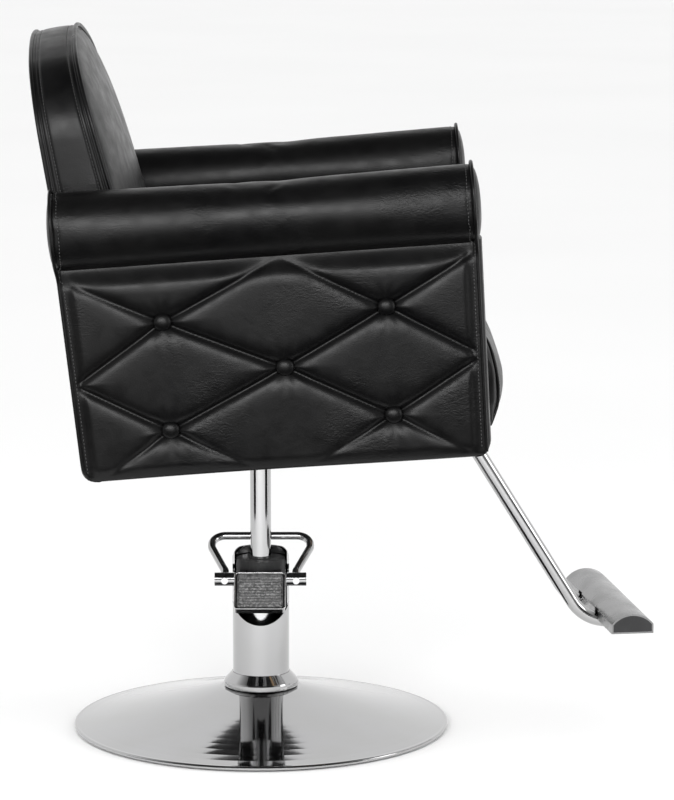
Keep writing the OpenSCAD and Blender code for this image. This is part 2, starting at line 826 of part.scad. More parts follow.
base_dish();
floor_gasket();
ballast_ring();
collar_ring();
pump_cover();
pump_flange();
flange_bolts();
pump_tank();
ram_cylinder();
pump_head();
guide_bush();
wiper_seal();
cross_shaft();
pedal_arm();
pedal_plate();
pedal_tread();
loop_bar();
lever_bolts();
lift_piston();
piston_seal();
thrust_washer();
ram_rod();
hub_socket();
seat_plate();
plate_bolts();
seat_deck();
under_cover();
front_rail();
rear_rail();
side_rails();
seat_springs();
seat_cushion();
back_board();
back_posts();
back_shell();
back_cushion();
arm_frame(right);  // right_arm_frame
arm_frame(left);  // left_arm_frame
side_panel(right);  // right_side_panel
side_panel(left);  // left_side_panel
arm_roll(right);  // right_arm_roll
arm_roll(left);  // left_arm_roll
buttons(right);  // right_buttons
buttons(left);  // left_buttons
roll_welts(right);  // right_roll_welts
roll_welts(left);  // left_roll_welts
arm_bolts();
footrest_bracket();
footrest_tubes();
footrest_tread();
tread_end_caps();
tread_screws();
footrest_bolts();
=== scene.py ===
# Hair salon styling chair: its looks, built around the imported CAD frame. Metres, Z up, faces -Y.
import math

import bmesh
import bpy
import numpy as np
from mathutils import Matrix, Vector, kdtree, noise
from mathutils.bvhtree import BVHTree


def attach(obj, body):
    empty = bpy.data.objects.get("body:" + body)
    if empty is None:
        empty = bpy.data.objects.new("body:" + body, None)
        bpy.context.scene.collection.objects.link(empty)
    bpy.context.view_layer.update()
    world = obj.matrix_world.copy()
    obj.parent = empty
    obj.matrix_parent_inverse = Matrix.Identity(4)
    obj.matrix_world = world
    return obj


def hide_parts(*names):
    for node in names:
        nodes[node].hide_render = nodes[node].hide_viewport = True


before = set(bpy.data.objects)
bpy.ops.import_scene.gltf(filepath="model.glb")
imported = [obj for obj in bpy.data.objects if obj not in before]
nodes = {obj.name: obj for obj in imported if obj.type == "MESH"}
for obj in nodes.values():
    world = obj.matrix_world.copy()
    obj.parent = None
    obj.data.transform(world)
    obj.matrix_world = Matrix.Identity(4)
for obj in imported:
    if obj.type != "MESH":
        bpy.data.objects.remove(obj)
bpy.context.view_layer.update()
scene = bpy.context.scene

# ---------- camera ----------

camera_data = bpy.data.cameras.new("camera")
camera_data.lens = 167.4
camera_data.sensor_width = 36
camera_data.clip_end = 200
camera = bpy.data.objects.new("camera", camera_data)
scene.collection.objects.link(camera)
camera.location = (-5.436, -0.089, 1.392)
yaw, pitch = math.radians(-0.26), math.radians(9.39)
aim = Vector((math.cos(yaw) * math.cos(pitch), math.sin(yaw) * math.cos(pitch), -math.sin(pitch)))
camera.rotation_euler = aim.to_track_quat("-Z", "Y").to_euler()
scene.camera = camera

# ---------- places ----------

# The upholstered body's own frame: x across, -y forward, z up from its underside.
BODY_Z = 0.443
TILT = math.radians(4)
BODY = Matrix.Translation((0, 0, BODY_Z)) @ Matrix.Rotation(-TILT, 4, "X")
BODY_BACK = BODY.inverted()


def apply(matrix, points):
    """The points, moved by a matrix."""
    points = np.asarray(points, float).reshape(-1, 3)
    m = np.array(matrix)
    return points @ m[:3, :3].T + m[:3, 3]


def coords(mesh):
    found = np.zeros(len(mesh.vertices) * 3)
    mesh.vertices.foreach_get("co", found)
    return found.reshape(-1, 3)


def set_coords(mesh, points):
    mesh.vertices.foreach_set("co", np.ascontiguousarray(points, float).ravel())
    mesh.update()


def normals(mesh):
    found = np.zeros(len(mesh.vertices) * 3)
    mesh.vertices.foreach_get("normal", found)
    return found.reshape(-1, 3)


def body_box(node):
    """A node's lowest and highest corners in the upholstered body's frame."""
    points = apply(BODY_BACK, coords(nodes[node].data))
    return points.min(0), points.max(0)


def smoothstep(low, high, value):
    t = np.clip((value - low) / (high - low), 0, 1)
    return t * t * (3 - 2 * t)


# ---------- materials ----------


class Finish:
    """A Principled material, with short names for the nodes that vary it."""

    def __init__(self, name, color, rough, metal=0.0, specular=0.5, coat=0.0):
        self.material = bpy.data.materials.new(name)
        self.material.use_nodes = True
        self.tree = self.material.node_tree
        self.shader = self.tree.nodes["Principled BSDF"]
        self.shader.inputs["Base Color"].default_value = (*color, 1)
        self.shader.inputs["Roughness"].default_value = rough
        self.shader.inputs["Metallic"].default_value = metal
        self.shader.inputs["Specular IOR Level"].default_value = specular
        self.shader.inputs["Coat Weight"].default_value = coat
        self.shader.inputs["Coat Roughness"].default_value = 0.12
        self.place = self.tree.nodes.new("ShaderNodeTexCoord").outputs["Object"]
        self.top = None

    def add(self, kind, **values):
        node = self.tree.nodes.new(kind)
        for key, value in values.items():
            setattr(node, key, value)
        return node

    def stretched(self, stretch):
        if stretch == (1, 1, 1):
            return self.place
        node = self.add("ShaderNodeMapping")
        self.tree.links.new(self.place, node.inputs["Vector"])
        node.inputs["Scale"].default_value = stretch
        return node.outputs["Vector"]

    def noise(self, scale, detail=2, distortion=0.0, stretch=(1, 1, 1)):
        node = self.add("ShaderNodeTexNoise")
        self.tree.links.new(self.stretched(stretch), node.inputs["Vector"])
        node.inputs["Scale"].default_value = scale
        node.inputs["Detail"].default_value = detail
        node.inputs["Distortion"].default_value = distortion
        return node.outputs["Fac"]

    def cells(self, scale, feature="F1", stretch=(1, 1, 1)):
        node = self.add("ShaderNodeTexVoronoi", feature=feature)
        self.tree.links.new(self.stretched(stretch), node.inputs["Vector"])
        node.inputs["Scale"].default_value = scale
        return node.outputs["Distance"]

    def range(self, value, low, high, to_low, to_high):
        node = self.add("ShaderNodeMapRange")
        self.tree.links.new(value, node.inputs["Value"])
        for key, number in zip(("From Min", "From Max", "To Min", "To Max"), (low, high, to_low, to_high)):
            node.inputs[key].default_value = number
        return node.outputs["Result"]

    def times(self, a, b):
        node = self.add("ShaderNodeMath", operation="MULTIPLY")
        self.tree.links.new(a, node.inputs[0])
        self.tree.links.new(b, node.inputs[1])
        return node.outputs["Value"]

    def tint(self, value, stops):
        node = self.add("ShaderNodeValToRGB")
        ramp = node.color_ramp
        while len(ramp.elements) < len(stops):
            ramp.elements.new(0.5)
        for element, (place, color) in zip(ramp.elements, stops):
            element.position = place
            element.color = (*color, 1)
        self.tree.links.new(value, node.inputs["Fac"])
        self.tree.links.new(node.outputs["Color"], self.shader.inputs["Base Color"])

    def rough(self, value):
        self.tree.links.new(value, self.shader.inputs["Roughness"])

    def bump(self, height, strength, distance):
        node = self.add("ShaderNodeBump")
        node.inputs["Strength"].default_value = strength
        node.inputs["Distance"].default_value = distance
        self.tree.links.new(height, node.inputs["Height"])
        if self.top is not None:
            self.tree.links.new(self.top, node.inputs["Normal"])
        self.top = node.outputs["Normal"]
        self.tree.links.new(self.top, self.shader.inputs["Normal"])


def leatherette(name, grain, wrinkle, low, high):
    """Coated fabric: a fine pebbled grain, patches of small wrinkles, and a soft gloss that varies."""
    made = Finish(name, (0.0022, 0.0022, 0.0024), 0.33, specular=0.24)
    made.tint(made.noise(7, 4), [(0.3, (0.0014, 0.0014, 0.0016)), (0.7, (0.003, 0.0029, 0.0029))])
    made.rough(made.range(made.noise(38, 5), 0.3, 0.7, low, high))
    patches = made.range(made.noise(9, 2), 0.48, 0.66, 0, 1)
    made.bump(made.times(made.noise(95, 3, 1.4, (1, 1, 2.2)), patches), wrinkle, 0.0016)
    made.bump(made.noise(30, 2, 0.6), wrinkle * 0.5, 0.0022)
    made.bump(made.cells(grain), 0.16, 0.00045)
    made.bump(made.noise(grain * 2.4, 1), 0.1, 0.0002)
    return made.material


def chrome(name, rough, tone, wave, brushed=None):
    """Plated metal: a slightly wavy mirror with faint cloudiness and hairlines."""
    made = Finish(name, (tone, tone, tone * 1.01), rough, metal=1)
    made.tint(made.noise(11, 3), [(0.35, (tone * 0.97,) * 3), (0.65, (tone, tone, tone * 1.012))])
    made.rough(made.range(made.noise(26, 5), 0.35, 0.75, rough * 0.75, rough * 1.5))
    if wave:
        made.bump(made.noise(9, 1), wave, 0.003)
    if brushed:
        made.bump(made.noise(60, 3, 0, brushed), 0.16, 0.0003)
    return made.material


def painted(name, color, rough, grain, strength, metal=0.0, coat=0.0, spread=0.35):
    """Paint, plastic, rubber or bare metal with a mottled colour and a grained surface."""
    made = Finish(name, color, rough, metal=metal, coat=coat)
    dark = tuple(c * (1 - spread) for c in color)
    made.tint(made.noise(grain * 0.12, 4), [(0.32, dark), (0.68, color)])
    made.rough(made.range(made.noise(grain * 0.3, 3), 0.3, 0.7, rough * 0.82, min(1, rough * 1.18)))
    made.bump(made.noise(grain, 3), strength, 0.0006)
    return made.material


def timber(name, dark, light, plies):
    """Wood with long grain, and with ply edges where asked."""
    made = Finish(name, light, 0.6)
    made.tint(made.noise(7, 6, 1.6, (1, 9, 9)), [(0.35, dark), (0.62, light)])
    if plies:
        made.bump(made.noise(5, 2, 0, (1, 1, 90)), 0.3, 0.0008)
    made.bump(made.noise(60, 4, 0.3, (1, 12, 12)), 0.25, 0.0006)
    return made.material


def thread(name):
    """Sewing thread, a little lighter than the cover."""
    made = Finish(name, (0.02, 0.02, 0.02), 0.42)
    made.tint(made.noise(900, 2), [(0.35, (0.03, 0.03, 0.03)), (0.7, (0.07, 0.07, 0.07))])
    made.bump(made.noise(1600, 2), 0.5, 0.0003)
    return made.material


def grip(name):
    """The pedal's cast tread: dull grey with worn high spots."""
    made = Finish(name, (0.3, 0.3, 0.3), 0.45, metal=0.25)
    greys = [(0.36, (0.06, 0.06, 0.06)), (0.5, (0.12, 0.12, 0.12)), (0.7, (0.3, 0.3, 0.3))]
    made.tint(made.noise(300, 5, 0.8), greys)
    made.rough(made.range(made.noise(120, 4), 0.3, 0.7, 0.3, 0.6))
    made.bump(made.noise(320, 4, 0.6), 0.5, 0.0012)
    return made.material


SKIN = leatherette("black_leatherette", 820, 0.34, 0.29, 0.43)
TRIM = leatherette("leatherette_trim", 1100, 0.16, 0.27, 0.38)
THREAD = thread("thread")
CHROME = chrome("chrome", 0.06, 0.47, 0.04)
DISH = chrome("chrome_dish", 0.05, 0.48, 0.015)
TUBE = chrome("chrome_tube", 0.05, 0.46, 0.02)
SATIN = chrome("chrome_satin", 0.25, 0.26, 0.0, (2, 40, 40))
BRIGHT = chrome("bright_steel", 0.16, 0.7, 0.04, (30, 30, 2))
GRIP = grip("pedal_grip")
RUBBER = painted("black_rubber", (0.018, 0.018, 0.018), 0.72, 420, 0.4)
IRON = painted("cast_iron", (0.05, 0.048, 0.045), 0.7, 260, 0.7, metal=0.4)
STEEL = painted("dark_steel", (0.05, 0.05, 0.052), 0.4, 300, 0.2, metal=0.8)
HEAD = painted("black_paint", (0.005, 0.005, 0.0055), 0.55, 220, 0.22)
PLASTIC = painted("black_plastic", (0.016, 0.016, 0.017), 0.46, 520, 0.3)
BRONZE = painted("bronze", (0.46, 0.29, 0.13), 0.35, 240, 0.2, metal=1)
PLY = timber("plywood", (0.36, 0.22, 0.11), (0.6, 0.42, 0.24), True)
PINE = timber("softwood", (0.46, 0.3, 0.16), (0.68, 0.5, 0.3), False)
CLOTH = painted("under_cloth", (0.014, 0.014, 0.014), 0.95, 900, 0.6)

FINISHES = {
    "base_dish": DISH, "floor_gasket": RUBBER, "ballast_ring": IRON, "collar_ring": CHROME,
    "pump_cover": CHROME, "pump_flange": STEEL, "flange_bolts": BRIGHT, "pump_tank": STEEL,
    "ram_cylinder": BRIGHT, "pump_head": HEAD, "guide_bush": BRONZE, "wiper_seal": RUBBER,
    "cross_shaft": CHROME, "pedal_arm": STEEL, "pedal_plate": CHROME, "pedal_tread": GRIP,
    "loop_bar": TUBE, "lever_bolts": BRIGHT, "lift_piston": BRIGHT, "piston_seal": RUBBER,
    "thrust_washer": BRONZE, "ram_rod": TUBE, "hub_socket": STEEL, "seat_plate": STEEL,
    "plate_bolts": BRIGHT, "seat_deck": PLY, "under_cover": CLOTH, "front_rail": PINE,
    "rear_rail": PINE, "side_rails": PINE, "seat_springs": BRIGHT, "back_board": PLY,
    "back_posts": PINE, "right_arm_frame": PINE, "left_arm_frame": PINE, "arm_bolts": BRIGHT,
    "footrest_bracket": STEEL, "footrest_tubes": TUBE, "footrest_tread": SATIN,
    "tread_end_caps": PLASTIC, "tread_screws": BRIGHT, "footrest_bolts": BRIGHT,
    "seat_cushion": SKIN, "back_shell": SKIN, "back_cushion": SKIN,
    "right_side_panel": SKIN, "left_side_panel": SKIN, "right_arm_roll": SKIN,
    "left_arm_roll": SKIN, "right_buttons": TRIM, "left_buttons": TRIM,
    "right_roll_welts": TRIM, "left_roll_welts": TRIM,
}
for name, obj in nodes.items():
    obj.data.materials.clear()
    obj.data.materials.append(FINISHES[name])

# ---------- mesh helpers ----------


def piece(name, points, faces, finish, body="seat", matrix=BODY):
    """A smooth mesh on a CAD body, from points in the body's frame or in the room's."""
    mesh = bpy.data.meshes.new(name)
    mesh.from_pydata(apply(matrix, points).tolist(), [], [tuple(int(i) for i in f) for f in faces])
    work = bmesh.new()
    work.from_mesh(mesh)
    bmesh.ops.recalc_face_normals(work, faces=work.faces)
    work.to_mesh(mesh)
    work.free()
    mesh.shade_smooth()
    mesh.materials.append(finish)
    obj = bpy.data.objects.new(name, mesh)
    scene.collection.objects.link(obj)
    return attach(obj, body)


ROOM = Matrix.Identity(4)


def grid_faces(rows, columns, wrap=True, first=0):
    """Quads between rows of points; wrap joins each row's last point to its first."""
    across = np.arange(columns if wrap else columns - 1)
    beside = (across + 1) % columns
    up = np.arange(rows - 1)[:, None] * columns + first
    above = up + columns
    return np.stack([up + across, up + beside, above + beside, above + across], -1).reshape(-1, 4)


def spaced(points, step, closed=False):
    """The path again, with points at an even distance."""
    points = np.asarray(points, float)
    if closed:
        points = np.vstack([points, points[:1]])
    travel = np.r_[0, np.cumsum(np.linalg.norm(np.diff(points, axis=0), axis=1))]
    count = max(2, int(round(travel[-1] / step)) + 1)
    at = np.linspace(0, travel[-1], count)
    made = np.stack([np.interp(at, travel, points[:, k]) for k in range(points.shape[1])], 1)
    return made[:-1] if closed else made


def eased(points, rounds, closed=False):
    """The path with its points averaged with their neighbours."""
    points = np.asarray(points, float)
    for _ in range(rounds):
        mean = (np.roll(points, 1, 0) + np.roll(points, -1, 0)) / 2
        if closed:
            points = (points + mean) / 2
        else:
            points[1:-1] = ((points + mean) / 2)[1:-1]
    return points


def unit(vectors):
    return vectors / np.maximum(np.linalg.norm(vectors, axis=-1, keepdims=True), 1e-12)


def directions(points, closed=False):
    if closed:
        return unit(np.roll(points, -1, 0) - np.roll(points, 1, 0))
    return unit(np.gradient(points, axis=0))


def swept(points, radius, sides=12, closed=False):
    """A round bar along a path: its points and faces, with domed ends where the path is open."""
    points = np.asarray(points, float)
    along = directions(points, closed)
    side = np.zeros_like(points)
    start = np.cross(along[0], (0.31, 0.52, 0.79))
    side[0] = start / np.linalg.norm(start)
    for i in range(1, len(points)):
        kept = side[i - 1] - along[i] * np.dot(side[i - 1], along[i])
        side[i] = kept / np.linalg.norm(kept)
    up = np.cross(along, side)
    turn = np.linspace(0, 2 * math.pi, sides, endpoint=False)
    ring = np.cos(turn)[:, None] * radius, np.sin(turn)[:, None] * radius
    made = points[:, None] + side[:, None] * ring[0] + up[:, None] * ring[1]
    count = len(points)
    faces = grid_faces(count, sides).tolist()
    made = made.reshape(-1, 3)
    if closed:
        last, turned = (count - 1) * sides, 0
        gaps = [np.linalg.norm(made[last] - made[k]) for k in range(sides)]
        turned = int(np.argmin(gaps))
        for k in range(sides):
            faces.append([last + k, last + (k + 1) % sides, (turned + k + 1) % sides, (turned + k) % sides])
        return made, faces
    extra = []
    for end, way in ((0, -1), (count - 1, 1)):
        base = end * sides
        tip = len(made) + len(extra)
        extra.append(points[end] + along[end] * way * radius * 0.45)
        for k in range(sides):
            faces.append([base + k, base + (k + 1) % sides, tip])
    return np.vstack([made, extra]), faces


def joined(parts):
    """Several (points, faces) as one."""
    points, faces, first = [], [], 0
    for some, quads in parts:
        points.append(some)
        faces += [[int(i) + first for i in face] for face in quads]
        first += len(some)
    return np.vstack(points), faces


def surface_of(*objects):
    """A search tree of some pieces' surfaces, in the room's frame."""
    points, faces, first = [], [], 0
    for obj in objects:
        found = coords(obj.data)
        points += [Vector(p) for p in found]
        faces += [[i + first for i in face.vertices] for face in obj.data.polygons]
        first += len(found)
    return BVHTree.FromPolygons(points, faces)


def laid(tree, points, lift=0.0, reach=0.04):
    """Points moved onto a surface and lifted off it, with the surface's directions there."""
    placed, out = [], []
    for p in apply(BODY, points):
        spot, normal, _, _ = tree.find_nearest(Vector(p), reach)
        if spot is None:
            spot, normal = Vector(p), Vector((0, 0, 1))
        placed.append(spot + normal * lift)
        out.append(normal)
    return apply(BODY_BACK, placed), np.array(out) @ np.array(BODY_BACK)[:3, :3].T


STITCH_PITCH = 0.0052
STITCH_LENGTH = 0.0036
STITCH_R = 0.00052


def stitches(path, out):
    """A row of stitches on a surface: each is a short thread that dips at its ends."""
    path, out = np.asarray(path, float), np.asarray(out, float)
    travel = np.r_[0, np.cumsum(np.linalg.norm(np.diff(path, axis=0), axis=1))]
    at = np.arange(STITCH_PITCH / 2, travel[-1], STITCH_PITCH)
    pick = lambda values: np.stack([np.interp(at, travel, values[:, k]) for k in range(3)], 1)
    centre, up, along = pick(path), unit(pick(out)), unit(pick(directions(path)))
    beside = unit(np.cross(along, up))
    rings, sides = 5, 6
    u = np.linspace(-1, 1, rings)
    turn = np.linspace(0, 2 * math.pi, sides, endpoint=False)
    fat = np.sqrt(1 - 0.8 * u ** 2)[:, None]
    shape_u = np.repeat(u * STITCH_LENGTH / 2, sides)
    shape_v = (fat * np.cos(turn) * STITCH_R).ravel()
    shape_w = (fat * np.sin(turn) * STITCH_R).ravel() + np.repeat(STITCH_R * (0.5 - 1.1 * u ** 2), sides)
    made = (centre[:, None] + along[:, None] * shape_u[:, None] + beside[:, None] * shape_v[:, None]
            + up[:, None] * shape_w[:, None])
    one = grid_faces(rings, sides).tolist()
    one += [list(range(sides)), list(range((rings - 1) * sides, rings * sides))]
    faces = [[i + k * rings * sides for i in face] for k in range(len(centre)) for face in one]
    return made.reshape(-1, 3), faces


def settle(obj):
    """Applies an object's modifiers to its mesh."""
    graph = bpy.context.evaluated_depsgraph_get()
    mesh = bpy.data.meshes.new_from_object(obj.evaluated_get(graph))
    obj.modifiers.clear()
    obj.data = mesh
    mesh.shade_smooth()


def even(obj, voxel):
    """Gives a piece an even mesh, which cloth needs."""
    remesh = obj.modifiers.new("Remesh", "REMESH")
    remesh.mode = "VOXEL"
    remesh.voxel_size = voxel
    settle(obj)


def soft_form(name, points, faces, voxel):
    """A shape in the body's frame as a new, evenly meshed piece, ready to swell."""
    obj = piece(name, points, faces, SKIN)
    even(obj, voxel)
    return obj


def soft_copy(name, node, voxel, shrink):
    """A CAD node's mesh as a new, evenly meshed piece, drawn in a little to leave room to swell."""
    obj = bpy.data.objects.new(name, nodes[node].data.copy())
    scene.collection.objects.link(obj)
    even(obj, voxel)
    set_coords(obj.data, coords(obj.data) - normals(obj.data) * shrink)
    obj.data.materials.clear()
    obj.data.materials.append(SKIN)
    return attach(obj, "seat")


CLOTH_FRAMES = 20


def swell(obj, pressure, cap, held, stiffness=14.0):
    """Fills a cover with cloth simulation. held says which points stay; no point moves over cap."""
    rest = coords(obj.data)
    group = obj.vertex_groups.new(name="held")
    group.add([int(i) for i in np.flatnonzero(held(apply(BODY_BACK, rest)))], 1.0, "REPLACE")
    cloth = obj.modifiers.new("Cloth", "CLOTH")
    cloth.settings.quality = 5
    cloth.settings.mass = 0.3
    cloth.settings.tension_stiffness = stiffness
    cloth.settings.compression_stiffness = stiffness
    cloth.settings.shear_stiffness = stiffness / 2
    cloth.settings.bending_stiffness = 0.6
    cloth.settings.use_pressure = True
    cloth.settings.uniform_pressure_force = pressure
    cloth.settings.effector_weights.gravity = 0
    cloth.settings.vertex_group_mass = group.name
    cloth.collision_settings.use_collision = False
    cloth.point_cache.frame_start = 1
    cloth.point_cache.frame_end = CLOTH_FRAMES
    for number in range(1, CLOTH_FRAMES + 1):
        scene.frame_set(number)
    moved = coords(obj.evaluated_get(bpy.context.evaluated_depsgraph_get()).data)
    step = moved - rest
    size = np.linalg.norm(step, axis=1, keepdims=True)
    step *= np.minimum(1, cap / np.maximum(size, 1e-9))
    obj.modifiers.remove(cloth)
    obj.vertex_groups.clear()
    set_coords(obj.data, rest + step)
    scene.frame_set(1)


def relax(obj, rounds, factor=0.5):
    smooth = obj.modifiers.new("Smooth", "SMOOTH")
    smooth.factor = factor
    smooth.iterations = rounds
    settle(obj)


def finer(obj, levels=1):
    more = obj.modifiers.new("Subdivision", "SUBSURF")
    more.levels = more.render_levels = levels
    settle(obj)


def press(obj, path, width, depth):
    """Sinks the surface along a sewn line, given in the body's frame."""
    points = apply(BODY, spaced(path, 0.002))
    tree = kdtree.KDTree(len(points))
    for i, p in enumerate(points):
        tree.insert(p, i)
    tree.balance()
    here, out = coords(obj.data), normals(obj.data)
    gap = np.array([tree.find(p)[2] for p in here])
    set_coords(obj.data, here - out * (depth * np.exp(-(gap / width) ** 2))[:, None])


def limit(obj, rule):
    """Keeps a piece inside its room: rule changes the points in the body's frame."""
    set_coords(obj.data, apply(BODY, rule(apply(BODY_BACK, coords(obj.data)))))


def wobble(points, scale, seed):
    """Smooth, fixed unevenness between -1 and 1."""
    return np.array([noise.noise(Vector(p) * scale + Vector((seed, seed * 0.7, 0))) for p in points])


def rows_piece(name, rows):
    """One piece made of several stitch rows, each (path, directions)."""
    points, faces = joined([stitches(*row) for row in rows])
    made = piece(name, points, faces, THREAD)
    return made


# ---------- side panels ----------

PANEL_LOW, PANEL_HIGH = body_box("left_side_panel")
INNER_X, PANEL_X = PANEL_LOW[0], PANEL_HIGH[0]
# How far the piping sits in from the padded face at each end of an arm.
FACING = {"front": 0.008, "rear": 0.004}
# The panel's rear and front edges at its underside and at EDGE_RISE above it.
REAR_LOW, REAR_HIGH = 0.246, 0.262
FRONT_LOW, FRONT_HIGH = 0.331, 0.337
EDGE_RISE = 0.34
PANEL_TOP = 0.306
STITCH_IN = 0.0065
# How far the pillows stand out, and over what distance they rise from a channel.
PILLOW, PILLOW_RISE = 0.0048, 0.0095
CHANNEL, CHANNEL_WIDTH = 0.0072, 0.0040
DIMPLE, DIMPLE_WIDTH = 0.0054, 0.0195
BUTTON_R = 0.013
BUTTONS = {
    "low_rear": (-0.116, 0.066), "low_front": (0.197, 0.066), "middle": (0.050, 0.144),
    "high_rear": (-0.116, 0.219), "high_front": (0.197, 0.219),
}
# Channels between the buttons and the panel's edges: two ends and the depth at each.
CHANNELS = [(BUTTONS["middle"], spot, 1, 1) for name, spot in BUTTONS.items() if name != "middle"]
CHANNELS += [
    (BUTTONS["high_rear"], (-0.240, 0.140), 1, 0.9), (BUTTONS["low_rear"], (-0.240, 0.136), 1, 0.9),
    (BUTTONS["high_front"], (0.324, 0.144), 1, 0.9), (BUTTONS["low_front"], (0.324, 0.140), 1, 0.9),
    (BUTTONS["high_rear"], (0.046, 0.296), 1, 0.6), (BUTTONS["high_front"], (0.058, 0.296), 1, 0.6),
    (BUTTONS["high_rear"], (-0.236, 0.279), 1, 0.35), (BUTTONS["high_front"], (0.322, 0.287), 1, 0.6),
    (BUTTONS["low_rear"], (-0.210, 0.006), 1, 0.1), (BUTTONS["low_rear"], (-0.008, 0.008), 1, 0.1),
    (BUTTONS["low_front"], (0.090, 0.010), 1, 0.1), (BUTTONS["low_front"], (0.300, 0.008), 1, 0.1),
]


def rear_y(h):
    return REAR_LOW + (REAR_HIGH - REAR_LOW) * h / EDGE_RISE


def front_y(h):
    return -(FRONT_LOW + (FRONT_HIGH - FRONT_LOW) * h / EDGE_RISE)


def tufting(f, h):
    """How far the padded face stands out at a place ahead of the axis and above the underside."""
    valley = np.zeros_like(f)
    nearest = np.full_like(f, 0.2)
    for (af, ah), (bf, bh), deep_a, deep_b in CHANNELS:
        run = np.array([bf - af, bh - ah])
        t = np.clip(((f - af) * run[0] + (h - ah) * run[1]) / run.dot(run), 0, 1)
        gap = np.hypot(f - af - run[0] * t, h - ah - run[1] * t)
        deep = deep_a + (deep_b - deep_a) * t
        valley = np.maximum(valley, deep * np.exp(-np.hypot(gap, 0.0008) / CHANNEL_WIDTH))
        nearest = np.minimum(nearest, gap + (1 - deep) * 0.022)
    dimple, pleats = np.zeros_like(f), np.zeros_like(f)
    for bf, bh in BUTTONS.values():
        away = np.hypot(f - bf, h - bh)
        dimple = np.maximum(dimple, np.exp(-(away / DIMPLE_WIDTH) ** 2))
        turn = np.arctan2(h - bh, f - bf)
        pleats += np.cos(11 * turn + 40 * bf) * np.exp(-((away - 0.024) / 0.011) ** 2)
    edge = np.minimum(f + rear_y(h) - FACING["rear"], -front_y(h) - f - FACING["front"])
    inside = smoothstep(0.010, 0.022, edge) * smoothstep(0.300, 0.262, h) * smoothstep(0.0, 0.020, h)
    cut = smoothstep(0.006, 0.013, edge) * smoothstep(0.302, 0.284, h)
    crown = PILLOW * (1 - np.exp(-(nearest / PILLOW_RISE)))
    seam = 0.0008 * np.exp(-((edge - STITCH_IN) / 0.0017) ** 2)
    tuck = 0.0105 * smoothstep(0.272, 0.304, h)
    sewn = cut * CHANNEL * valley + DIMPLE * dimple + seam + tuck
    return inside * (crown + 0.0004 * pleats) - sewn


def panel_loop():
    """The panel's plan outline: x, share of the way forward, offset, and outward direction."""
    r = 0.0025
    front, rear = FACING["front"], -FACING["rear"]
    loop = []
    for a in np.linspace(0, 1, 214, endpoint=False):
        loop.append((PANEL_X, a, rear - r + (front - rear + 2 * r) * a, 1, 0, "outer"))
    outer, inner = PANEL_X - r, INNER_X + r
    corners = ((outer, 0, 1, front), (inner, 90, 1, front), (inner, 180, 0, rear), (outer, 270, 0, rear))
    for middle, start, share, inset in corners:
        way = 1 if share else -1
        for t in np.radians(np.linspace(start, start + 90, 4)):
            across, along = math.cos(t), math.sin(t)
            loop.append((middle + r * across, share, inset + way * r - r * along, across, -along, ""))
        if start in (0, 180):
            for x in np.linspace(middle, inner if share else outer, 18)[1:-1]:
                loop.append((x, share, inset, 0, -way, "band"))
        elif start == 90:
            for a in np.linspace(1, 0, 70)[1:-1]:
                loop.append((INNER_X, a, rear - r + (front - rear + 2 * r) * a, -1, 0, "inner"))
    return loop


def rounding(radius, h):
    """How far a rounded corner is from square at a height above its foot."""
    return radius - math.sqrt(max(0, radius ** 2 - max(0, radius - h) ** 2))


def side_panel(side, word):
    """The tufted arm side: padded outer face, crowned bands at its ends, plain inner face."""
    loop = panel_loop()
    x, share, offset, nx, ny = (np.array([p[k] for p in loop]) for k in range(5))
    kind = np.array([p[5] for p in loop])
    bottom, rear_corner = 0.007, 0.015
    heights = sorted((bottom * (1 - math.sin(t)), bottom * (1 - math.cos(t)) * 0.9)
                     for t in np.radians(np.linspace(0, 90, 5)))
    heights += [(h, 0.0) for h in np.arange(0.0095, PANEL_TOP, 0.0027)]
    rows = []
    for h, inset in heights:
        back, front = rear_y(h) - rounding(rear_corner, h), front_y(h) + rounding(bottom, h)
        y = back + share * (front - back) + offset
        out = np.full(len(x), -inset)
        face = kind == "outer"
        out[face] += tufting(-y[face], np.full(face.sum(), h))
        band = kind == "band"
        swelled = np.where(share[band] > 0.5, FACING["front"], FACING["rear"])
        middle_x = (2 * x[band] - INNER_X - PANEL_X) / (PANEL_X - INNER_X)
        out[band] += swelled * (1 - np.abs(middle_x) ** 3) ** 0.6 * smoothstep(-0.004, 0.02, h)
        inner = kind == "inner"
        padded = smoothstep(0, 0.05, 0.12 - y[inner]) * smoothstep(0, 0.05, y[inner] - front)
        out[inner] += 0.0022 * smoothstep(0.2, 0.24, h) * padded
        sag = 0.0012 * np.sin(9 * y + 1.2) * smoothstep(0.04, 0, h)
        rows.append(np.stack([x + nx * out, y + ny * out, h + sag], 1))
    points = np.vstack(rows)
    count, wide = len(rows), len(loop)
    faces = grid_faces(count, wide).tolist()
    low = rows[0].copy()
    middle = (INNER_X + PANEL_X) / 2
    for pull in (0.35, 0.7, 0.985):
        ring = low.copy()
        ring[:, 0] = low[:, 0] + (middle - low[:, 0]) * pull
        ring[:, 1] = low[:, 1] * (1 - pull * 0.1)
        ring[:, 2] += 0.0006 * pull
        start = len(points)
        before = 0 if pull == 0.35 else start - wide
        points = np.vstack([points, ring])
        for k in range(wide):
            n = (k + 1) % wide
            faces.append([before + k, before + n, start + n, start + k])
    faces.append(list(range(len(points) - wide, len(points))))
    faces.append(list(range((count - 1) * wide, count * wide)))
    points[:, 0] *= side
    made = piece(f"{word}_tufted_panel", points, faces, SKIN)
    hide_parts(f"{word}_side_panel")
    return made


